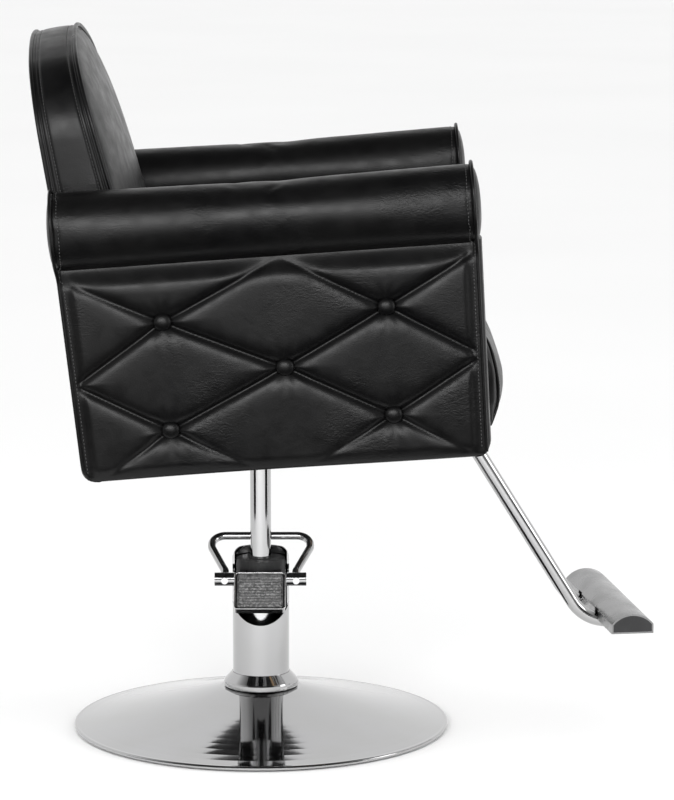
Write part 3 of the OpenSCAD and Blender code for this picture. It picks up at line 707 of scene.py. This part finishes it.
def button_set(side, word):
    """Five covered buttons, each a shallow dome gathered round its rim."""
    parts = []
    rings, sides = 12, 40
    turn = np.linspace(0, 2 * math.pi, sides, endpoint=False)
    for number, (bf, bh) in enumerate(BUTTONS.values()):
        made = []
        for k in range(rings):
            a = k / (rings - 1) * math.radians(118)
            r = BUTTON_R * math.sin(a) / math.sin(math.radians(92))
            r = min(r, BUTTON_R)
            gather = 1 + 0.016 * math.sin(a) ** 6 * np.cos(13 * turn + number)
            out = 0.0072 * math.cos(a)
            made.append(np.stack([np.full(sides, PANEL_X - 0.0042 + out), -bf + r * gather * np.cos(turn),
                                  bh + r * gather * np.sin(turn)], 1))
        points = np.vstack(made)
        faces = grid_faces(rings, sides).tolist()
        faces += [list(range((rings - 1) * sides, rings * sides))]
        points[:, 0] *= side
        parts.append((points, faces))
    points, faces = joined(parts)
    made = piece(f"{word}_covered_buttons", points, faces, TRIM)
    work = bmesh.new()
    work.from_mesh(made.data)
    bmesh.ops.remove_doubles(work, verts=work.verts, dist=0.00002)
    bmesh.ops.recalc_face_normals(work, faces=work.faces)
    work.to_mesh(made.data)
    work.free()
    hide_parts(f"{word}_buttons")


# ---------- arm rolls ----------

ROLL_LOW, ROLL_HIGH = body_box("left_arm_roll")
ROLL_X = (ROLL_LOW[0] + ROLL_HIGH[0]) / 2
ROLL_R = (ROLL_HIGH[0] - ROLL_LOW[0]) / 2
ROLL_H = (ROLL_LOW[2] + ROLL_HIGH[2]) / 2
ROLL_HALF = (ROLL_HIGH[2] - ROLL_LOW[2]) / 2 - ROLL_R
ROLL_FRONT, ROLL_REAR = ROLL_LOW[1], ROLL_HIGH[1]
ROLL_STITCH = 0.0085
# Length of the padded dome at each end of a roll, outside its piping.
DOME = {"front": 0.0105, "rear": 0.0075}


def roll_ring(y, out=0.0, start=-90, end=270, count=120):
    """Points round the roll's rounded cross-section, from one angle to another."""
    made = []
    for t in np.radians(np.linspace(start, end, count)):
        lift = ROLL_HALF if math.sin(t) >= 0 else -ROLL_HALF
        made.append((ROLL_X + (ROLL_R + out) * math.cos(t), y, ROLL_H + lift + (ROLL_R + out) * math.sin(t)))
    return np.array(made)


def roll_form():
    """A roll's points and faces: a rounded bar with domed ends."""
    rings = []
    for end in ("front", "rear"):
        way = 1 if end == "rear" else -1
        seam = (ROLL_REAR if end == "rear" else ROLL_FRONT) - way * DOME[end]
        part = []
        for share in (1, 0.97, 0.92, 0.84, 0.72, 0.56, 0.38, 0.2, 0.03):
            ring = roll_ring(seam + way * DOME[end] * (1 - share ** 2.6) ** 0.6, -0.002, count=121)[:-1]
            ring[:, 0] = ROLL_X + (ring[:, 0] - ROLL_X) * share
            ring[:, 2] = ROLL_H + (ring[:, 2] - ROLL_H) * share
            part.append(ring)
        rings += part if end == "rear" else part[::-1]
    points = np.vstack(rings)
    count, wide = len(rings), len(rings[0])
    faces = grid_faces(count, wide).tolist()
    return points, faces + [list(range(wide)), list(range((count - 1) * wide, count * wide))]


def facing_path(end):
    """The piping round one end of an arm: up the panel's edge, round the roll, down inside."""
    way = 1 if end == "rear" else -1
    roll_y = (ROLL_REAR if end == "rear" else ROLL_FRONT) - way * DOME[end]
    panel_y = lambda h: (rear_y(h) if end == "rear" else front_y(h)) - way * FACING[end]
    foot = 0.016
    curl = lambda h: 0.012 * (1 - h / foot) if h < foot and end == "rear" else 0
    outer = [(PANEL_X - 0.001, panel_y(h) - curl(h), h) for h in np.linspace(0.006, 0.288, 60)]
    ring = roll_ring(roll_y, 0.0004, -44, 204, 90)
    inner = [(INNER_X + 0.001, panel_y(h), h) for h in np.linspace(0.318, 0.196, 24)]
    return eased(spaced(np.vstack([outer, ring, inner]), 0.003), 5)


def arm_roll(side, word, panel):
    """The padded roll on top of an arm, its piping and its stitch rows."""
    points, faces = roll_form()
    points[:, 0] *= side
    roll = soft_form(f"{word}_roll", points, faces, 0.005)
    middle = (ROLL_FRONT + ROLL_REAR) / 2
    swell(roll, 4.0, 0.006, lambda p: (np.abs(p[:, 0] * side - ROLL_X) < 0.012) & (p[:, 2] < 0.31)
          & (np.abs(p[:, 1] - middle) < 0.27))
    relax(roll, 5)
    finer(roll)
    for inward, width, depth in ((0, 0.003, 0.0022), (ROLL_STITCH, 0.0026, 0.0012)):
        for y in (ROLL_FRONT + DOME["front"] + inward, ROLL_REAR - DOME["rear"] - inward):
            path = roll_ring(y, 0)
            path[:, 0] *= side
            press(roll, path, width, depth)
    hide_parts(f"{word}_arm_roll")
    tree = surface_of(panel, roll)
    cords, rows = [], []
    for end in ("rear", "front"):
        way = 1 if end == "rear" else -1
        path = facing_path(end)
        path[:, 0] *= side
        cords.append(swept(path, 0.0025, 12))
        seam_y = (ROLL_REAR if end == "rear" else ROLL_FRONT) - way * (DOME[end] + ROLL_STITCH)
        ring = roll_ring(seam_y, 0.004, -62, 206, 160)
        ring[:, 0] *= side
        rows.append(laid(tree, ring))
        edge_y = rear_y if end == "rear" else front_y
        edge = np.array([(PANEL_X * side, edge_y(h) - way * (FACING[end] + STITCH_IN), h)
                         for h in np.linspace(0.012, 0.297, 110)])
        rows.append(laid(tree, edge))
    points, faces = joined(cords)
    piping = piece(f"{word}_arm_piping", points, faces, TRIM)
    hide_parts(f"{word}_roll_welts")
    rows_piece(f"{word}_arm_stitches", rows)


# ---------- back ----------

SHELL_HIGH = body_box("back_shell")[1]
BACK_X, BACK_H = SHELL_HIGH[0], SHELL_HIGH[2]
BACK_FOOT, BACK_TOP = 0.222, 0.284
# Thickness just above the seat and at the top, and the front face behind the seat cushion.
SHELL_THICK_LOW, SHELL_THICK_HIGH, SHELL_FRONT = 0.107, 0.060, 0.171
ARCH_R, ARCH_TOP_R = 0.120, 0.430
PAD_LOW = 0.192
PAD_CROWN = 0.025
# The shell's edge is square to its lean, so its rear edge is lower than its front edge.
SQUARE = (BACK_TOP - BACK_FOOT) / BACK_H
SEAT_X = 0.2405


def lean(h):
    return BACK_FOOT + (BACK_TOP - BACK_FOOT) * h / BACK_H


def shell_thickness(h):
    above = SHELL_THICK_LOW + (SHELL_THICK_HIGH - SHELL_THICK_LOW) * (h - PAD_LOW) / (BACK_H - PAD_LOW)
    below = lean(h) - SHELL_FRONT
    return below + (above - below) * smoothstep(PAD_LOW - 0.006, PAD_LOW - 0.001, h)


def arch(inset=0.0, low=0.0, step=0.004):
    """The backrest's outline, up one side, over the arch and down the other, as x and height."""
    w, r, big = BACK_X - inset, ARCH_R - inset, ARCH_TOP_R - inset
    hub = BACK_H - inset - big
    shoulder = hub + math.sqrt((big - r) ** 2 - (w - r) ** 2)
    meet = math.atan2(shoulder - hub, -(w - r))
    path = [(-w, low), (-w, shoulder)]
    path += [(-(w - r) + r * math.cos(t), shoulder + r * math.sin(t)) for t in np.linspace(math.pi, meet, 40)]
    path += [(big * math.cos(t), hub + big * math.sin(t)) for t in np.linspace(meet, math.pi - meet, 60)]
    path += [((w - r) + r * math.cos(t), shoulder + r * math.sin(t))
             for t in np.linspace(math.pi - meet, 0, 40)]
    path += [(w, shoulder), (w, low)]
    return spaced(path, step)


def on_shell(outline, depth, out=0.0):
    """Points of an outline at a share of the shell's thickness, 0 at its rear and 1 at its front."""
    high = outline[:, 1]
    h = high - (1 - depth) * SQUARE * shell_thickness(high) * smoothstep(0, 0.2, high)
    return np.stack([outline[:, 0], lean(h) - depth * shell_thickness(h) - out, h], 1)


def back_shell():
    """The padded shell: crowned rear face, banded edge, and the plane under the front pad."""
    side = arch()
    floor = np.stack([np.linspace(BACK_X, -BACK_X, 60)[1:-1], np.zeros(58)], 1)
    outline = np.vstack([side, floor])
    spine_h = np.clip(outline[:, 1], BACK_X * 0.9, BACK_H - BACK_X * 1.05)
    spine = np.stack([np.zeros(len(outline)), spine_h], 1)
    ahead = directions(outline, closed=True)
    outward = np.stack([-ahead[:, 1], ahead[:, 0]], 1)
    rings = []
    for s in (0.02, 0.15, 0.3, 0.45, 0.6, 0.72, 0.82, 0.9, 0.95, 0.98):
        flat = spine + (outline - spine) * s
        rings.append(on_shell(flat, 0, -0.005 * (1 - s ** 6)))
    edge = [0, 0.025, 0.045, 0.06, 0.07, 0.08, 0.09, 0.1, 0.115, 0.13, 0.145, 0.16, 0.17, 0.18]
    edge += [0.2, 0.23, 0.28, 0.36, 0.46]
    for t in edge + [1 - t for t in reversed(edge)]:
        bulge = 0.0016 * math.sin(math.pi * t) - 0.003 * (t in (0, 1.0))
        bulge -= sum(0.0012 * math.exp(-((t - row) / 0.02) ** 2) for row in (0.08, 0.17, 0.83, 0.92))
        rings.append(on_shell(outline + outward * bulge * (outline[:, 1] > 0.002)[:, None], t))
    for s in (0.97, 0.9, 0.75, 0.5, 0.25, 0.02):
        flat = spine + (outline - spine) * s
        rings.append(on_shell(flat, 1, -0.001))
    wide = len(outline)
    points = np.vstack(rings)
    faces = grid_faces(len(rings), wide).tolist()
    faces.append(list(range(wide)))
    faces.append(list(range((len(rings) - 1) * wide, len(rings) * wide)))
    made = piece("back_shell_cover", points, faces, SKIN)
    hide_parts("back_shell")
    return made


def front_pad():
    """The crowned pad on the shell's front, sewn down all round at the shell's front edge."""
    top = arch(0.0015, PAD_LOW)
    width = top[-1, 0]
    bottom = np.stack([np.linspace(width, -width, 110)[1:-1], np.full(108, PAD_LOW)], 1)
    outline = np.vstack([top, bottom])
    spine = np.stack([np.zeros(len(outline)), np.clip(outline[:, 1], PAD_LOW + 0.13, BACK_H - 0.25)], 1)
    rings = [on_shell(spine + (outline - spine) * s, 0.88) for s in (0.02, 0.3, 0.6, 0.85, 1)]
    for s in (1, 0.985, 0.965, 0.94, 0.9, 0.84, 0.76, 0.66, 0.54, 0.4, 0.25, 0.12, 0.02):
        rings.append(on_shell(spine + (outline - spine) * s, 1, PAD_CROWN * (1 - s ** 2.2) ** 0.62))
    points, wide = np.vstack(rings), len(outline)
    faces = grid_faces(len(rings), wide).tolist()
    faces += [list(range(wide)), list(range((len(rings) - 1) * wide, len(rings) * wide))]
    pad = soft_form("back_pad", points, faces, 0.006)

    def ahead(p):
        return lean(p[:, 2]) - shell_thickness(p[:, 2]) - p[:, 1]

    swell(pad, 4.5, 0.005, lambda p: ahead(p) < 0.004, 22)
    relax(pad, 16)

    def room(p):
        p[:, 0] = np.clip(p[:, 0], -SEAT_X, SEAT_X)
        p[:, 2] = np.maximum(p[:, 2], PAD_LOW - 0.002)
        return p

    limit(pad, room)
    finer(pad)
    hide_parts("back_cushion")


def back_trim(shell):
    """Piping round both edges of the band, and the stitch rows beside it."""
    outline = arch(-0.0002, 0.004, 0.003)
    rear = swept(on_shell(outline, 0.0, -0.0005), 0.0029, 12)
    front = swept(on_shell(outline, 1.0, 0.001), 0.0031, 12)
    points, faces = joined([rear, front])
    piping = piece("back_piping", points, faces, TRIM)
    tree = surface_of(shell)
    rows = [laid(tree, on_shell(arch(0, 0.006), t)) for t in (0.17, 0.83)]
    rows_piece("back_stitches", rows)


# ---------- seat ----------

SEAT_SEAM = 0.2285


def seat_pad():
    """The seat cushion: full on top, with a swelling front apron over the front rail."""
    pad = soft_copy("seat_pad", "seat_cushion", 0.006, 0.003)
    swell(pad, 4.0, 0.016, lambda p: ((p[:, 2] < 0.113) & (p[:, 1] > -0.296)) | (p[:, 1] > 0.150)
          | ((p[:, 1] > -0.310) & (p[:, 2] < 0.10)))
    relax(pad, 8)

    def room(p):
        p[:, 0] = np.clip(p[:, 0], -SEAT_X, SEAT_X)
        over = p[:, 1] > -0.3
        p[over, 2] = np.maximum(p[over, 2], 0.105)
        p[:, 1] = np.minimum(p[:, 1], 0.17)
        return p

    limit(pad, room)
    finer(pad)
    tree = surface_of(pad)
    profile = [(0.10, 0.21), (-0.29, 0.21), (-0.34, 0.205), (-0.375, 0.17), (-0.38, 0.10),
               (-0.375, 0.04), (-0.35, 0.012)]
    cords, rows = [], []
    for side in (-1, 1):
        line = spaced([(SEAT_SEAM * side, y, z) for y, z in profile], 0.004)
        path, _ = laid(tree, line, 0, 0.08)
        path = eased(path, 4)
        press(pad, path, 0.004, 0.0022)
        cords.append(swept(path, 0.0022, 10))
        beside = path.copy()
        beside[:, 0] -= side * 0.009
        rows.append(laid(tree, beside))
    crease = [(x, -0.30 - 0.045 * (1 - (x / 0.24) ** 2), 0.205) for x in np.linspace(-0.2, 0.2, 60)]
    path, _ = laid(tree, crease, 0, 0.08)
    press(pad, path, 0.010, 0.0008)
    here = coords(pad.data)
    flat = apply(BODY_BACK, here)
    near_side = smoothstep(0.19, 0.232, np.abs(flat[:, 0])) * smoothstep(-0.30, -0.34, flat[:, 1])
    ripple = wobble(flat * (1, 1, 0.35), 62, 3.1)
    set_coords(pad.data, here + normals(pad.data) * (ripple * (0.0003 + 0.0012 * near_side))[:, None])
    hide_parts("seat_cushion")
    points, faces = joined(cords)
    piping = piece("seat_piping", points, faces, TRIM)
    rows_piece("seat_stitches", rows)


for side, word in ((-1, "right"), (1, "left")):
    panel = side_panel(side, word)
    button_set(side, word)
    arm_roll(side, word, panel)
shell = back_shell()
front_pad()
back_trim(shell)
seat_pad()

# ---------- lever ----------

SHAFT = Vector((-0.032, 0, 0.229))


def filleted(corners, radii, step=0.0015):
    """A path through corners, each rounded to its radius."""
    corners = [np.array(c, float) for c in corners]
    path = [corners[0]]
    for before, here, after, r in zip(corners, corners[1:], corners[2:], radii):
        a, b = (before - here) / np.linalg.norm(before - here), (after - here) / np.linalg.norm(after - here)
        half = math.acos(np.clip(a.dot(b), -1, 1)) / 2
        cut = r / math.tan(half)
        centre = here + (a + b) / np.linalg.norm(a + b) * (r / math.sin(half))
        start, end = here + a * cut - centre, here + b * cut - centre
        sweep = math.acos(np.clip(start.dot(end) / (r * r), -1, 1))
        for t in np.linspace(0, 1, 16):
            turned = start * math.sin((1 - t) * sweep) + end * math.sin(t * sweep)
            path.append(centre + turned / math.sin(sweep))
    path.append(corners[-1])
    return spaced(path, step)


def loop_bar():
    """The bent release bar, from one end of the cross shaft round behind the rod to the other."""
    reach = math.hypot(0.082, 0.049)
    way = np.array((0.082, 0, 0.049)) / reach
    run = [(0.003, 0.053), (0.0181, 0.053), (0.069, 0.0735), (reach, 0.0735)]
    run += [(a, -b) for a, b in reversed(run)]
    corners = [np.array(SHAFT) + way * a + np.array((0, b, 0)) for a, b in run]
    points, faces = swept(filleted(corners, (0.016, 0.016, 0.020, 0.020, 0.016, 0.016)), 0.006, 28)
    made = piece("loop_bar_bent", points, faces, TUBE, "lever", ROOM)
    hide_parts("loop_bar")


loop_bar()


def pedal_rim():
    """A bright rolled edge round the top of the pedal's tray."""
    slope = math.radians(29)
    down = np.array((-math.cos(slope), 0, -math.sin(slope)))
    up = np.array((-math.sin(slope), 0, math.cos(slope)))
    edge = np.array(SHAFT) + np.array((-0.014, 0, 0.008)) + up * 0.006
    length, half, r = 0.080, 0.037, 0.005
    corners = []
    far, wide = length - r, half - r
    for along, across, start in ((far, wide, 0), (r, wide, 90), (r, -wide, 180), (far, -wide, 270)):
        for t in np.radians(np.linspace(start, start + 90, 7)):
            beside = np.array((0, across + r * math.sin(t), 0))
            corners.append(edge + down * (along + r * math.cos(t)) + beside)
    points, faces = swept(spaced(corners, 0.0015, True), 0.0013, 10, closed=True)
    made = piece("pedal_rim", points, faces, BRIGHT, "lever", ROOM)


pedal_rim()

# ---------- footrest ----------

SLOPE = math.radians(58.1)
TUBE_X, TUBE_R = 0.058, 0.010
TREAD_F, TREAD_Z = 0.521, 0.173
# The footrest as a whole is turned a little out of square with the seat.
SKEW_AT = Matrix.Translation((0, -0.4, 0))
SKEW = SKEW_AT @ Matrix.Rotation(math.radians(5), 4, "Z") @ SKEW_AT.inverted()


def footrest_tubes():
    """Two bent tubes from under the seat down to the tread."""
    tube_z = TREAD_Z - 0.0025
    leg_f = lambda z: 0.321 + (0.418 - z) / math.tan(SLOPE)
    under = 0.00855 / math.cos(TILT)
    knee_f = leg_f(BODY_Z + under) / (1 + math.tan(TILT) / math.tan(SLOPE))
    knee_z = BODY_Z + knee_f * math.tan(TILT) + under
    parts = []
    for side in (-1, 1):
        x = side * TUBE_X
        corners = [(x, -knee_f + 0.15 * math.cos(TILT), knee_z - 0.15 * math.sin(TILT)), (x, -knee_f, knee_z),
                   (x, -leg_f(tube_z), tube_z), (x, -TREAD_F - 0.004, tube_z)]
        parts.append(swept(filleted(corners, (0.034, 0.062), 0.002), TUBE_R, 36))
    points, faces = joined(parts)
    made = piece("footrest_bent_tubes", points, faces, TUBE, "seat", SKEW)
    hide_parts("footrest_tubes")


footrest_tubes()

# ---------- floor and light ----------


def flat_plane(name, half, z):
    mesh = bpy.data.meshes.new(name)
    corners = [(-half, -half, z), (half, -half, z), (half, half, z), (-half, half, z)]
    mesh.from_pydata(corners, [], [(0, 1, 2, 3)])
    obj = bpy.data.objects.new(name, mesh)
    scene.collection.objects.link(obj)
    return obj


ground = Finish("pale_floor", (0.86, 0.86, 0.86), 0.75)
ground.tint(ground.noise(0.8, 2), [(0.3, (0.86, 0.86, 0.86)), (0.7, (0.875, 0.875, 0.875))])
floor = flat_plane("floor", 60, -0.0005)
floor.data.materials.append(ground.material)


def area(name, place, target, size, power):
    lamp = bpy.data.lights.new(name, "AREA")
    lamp.shape = "RECTANGLE"
    lamp.size, lamp.size_y = size
    lamp.energy = power
    obj = bpy.data.objects.new(name, lamp)
    obj.visible_camera = False
    obj.location = place
    obj.rotation_euler = (Vector(target) - Vector(place)).to_track_quat("-Z", "Y").to_euler()
    scene.collection.objects.link(obj)


area("key", (-3.0, 0.35, 1.55), (0, 0, 1.1), (3.0, 0.95), 84)
area("low", (-3.4, 0.1, 0.66), (0, 0.1, 0.9), (2.2, 0.5), 5)
area("front", (-0.9, -3.4, 1.3), (0, 0, 0.6), (1.6, 1.6), 28)

BLACK = painted("card", (0.01, 0.01, 0.01), 0.9, 40, 0.1)


def dark_plane(name, width, length):
    """A dark plane that is seen only in reflections."""
    obj = flat_plane(name, 0.5, 0)
    obj.data.materials.append(BLACK)
    obj.scale = (width, length, 1)
    obj.visible_camera = obj.visible_diffuse = obj.visible_shadow = False
    return obj


def card(name, centre, width, height):
    """A dark card that stands on the floor and faces the chair."""
    obj = dark_plane(name, width, height)
    facing = Vector((-centre[0], -centre[1], 0)).to_track_quat("Z", "Y")
    obj.rotation_euler = facing.to_euler()
    obj.location = (centre[0], centre[1], height / 2)


for number, degrees in enumerate((66, -66)):
    turn = math.radians(degrees)
    card(f"card_{number}", (-1.6 * math.cos(turn), 1.6 * math.sin(turn)), 0.85, 0.3)

# A dark flag level with the seat, between the chair and the camera, keeps the floor out of the leather.
dark_plane("flag", 1.45, 2.6).location = (-1.1, 0, 0.40)

world = bpy.data.worlds.new("studio")
scene.world = world
world.use_nodes = True
tree = world.node_tree
tree.nodes.clear()
link = tree.links.new
split = tree.nodes.new("ShaderNodeSeparateXYZ")
link(tree.nodes.new("ShaderNodeTexCoord").outputs["Generated"], split.inputs[0])


def world_ramp(socket, stops):
    """A grey that follows one direction, from -1 to 1."""
    scaled = tree.nodes.new("ShaderNodeMapRange")
    link(socket, scaled.inputs["Value"])
    scaled.inputs["From Min"].default_value = -1
    ramp = tree.nodes.new("ShaderNodeValToRGB")
    while len(ramp.color_ramp.elements) < len(stops):
        ramp.color_ramp.elements.new(0.5)
    for element, (at, grey) in zip(ramp.color_ramp.elements, stops):
        element.position = (at + 1) / 2
        element.color = (grey, grey, grey, 1)
    link(scaled.outputs["Result"], ramp.inputs["Fac"])
    return ramp.outputs["Color"]


def sky(color, strength=1.0):
    made = tree.nodes.new("ShaderNodeBackground")
    made.inputs["Strength"].default_value = strength
    if isinstance(color, float):
        made.inputs["Color"].default_value = (color, color, color, 1)
    else:
        link(color, made.inputs["Color"])
    return made.outputs["Background"]


def pick(way, other, chosen):
    made = tree.nodes.new("ShaderNodeMixShader")
    link(rays.outputs[way], made.inputs["Fac"])
    link(other, made.inputs[1])
    link(chosen, made.inputs[2])
    return made.outputs["Shader"]


# Reflections see a studio: dim above and on the camera's side, bright round the sides and behind.
depth = world_ramp(split.outputs["X"], [(-1, 0.3), (-0.55, 0.34), (-0.1, 0.9), (0.4, 1), (1, 1)])
height = world_ramp(split.outputs["Z"], [(-1, 1), (0.66, 1), (0.78, 0.5), (0.88, 0.15), (1, 0.08)])
both = tree.nodes.new("ShaderNodeMix")
both.data_type = "RGBA"
both.blend_type = "MULTIPLY"
both.inputs["Factor"].default_value = 1
link(depth, both.inputs["A"])
link(height, both.inputs["B"])
rays = tree.nodes.new("ShaderNodeLightPath")
seen = pick("Is Camera Ray", sky(both.outputs["Result"]), sky(1.0))
lit = pick("Is Diffuse Ray", seen, sky(1.0, 1.15))
link(lit, tree.nodes.new("ShaderNodeOutputWorld").inputs["Surface"])

scene.view_settings.view_transform = "Standard"
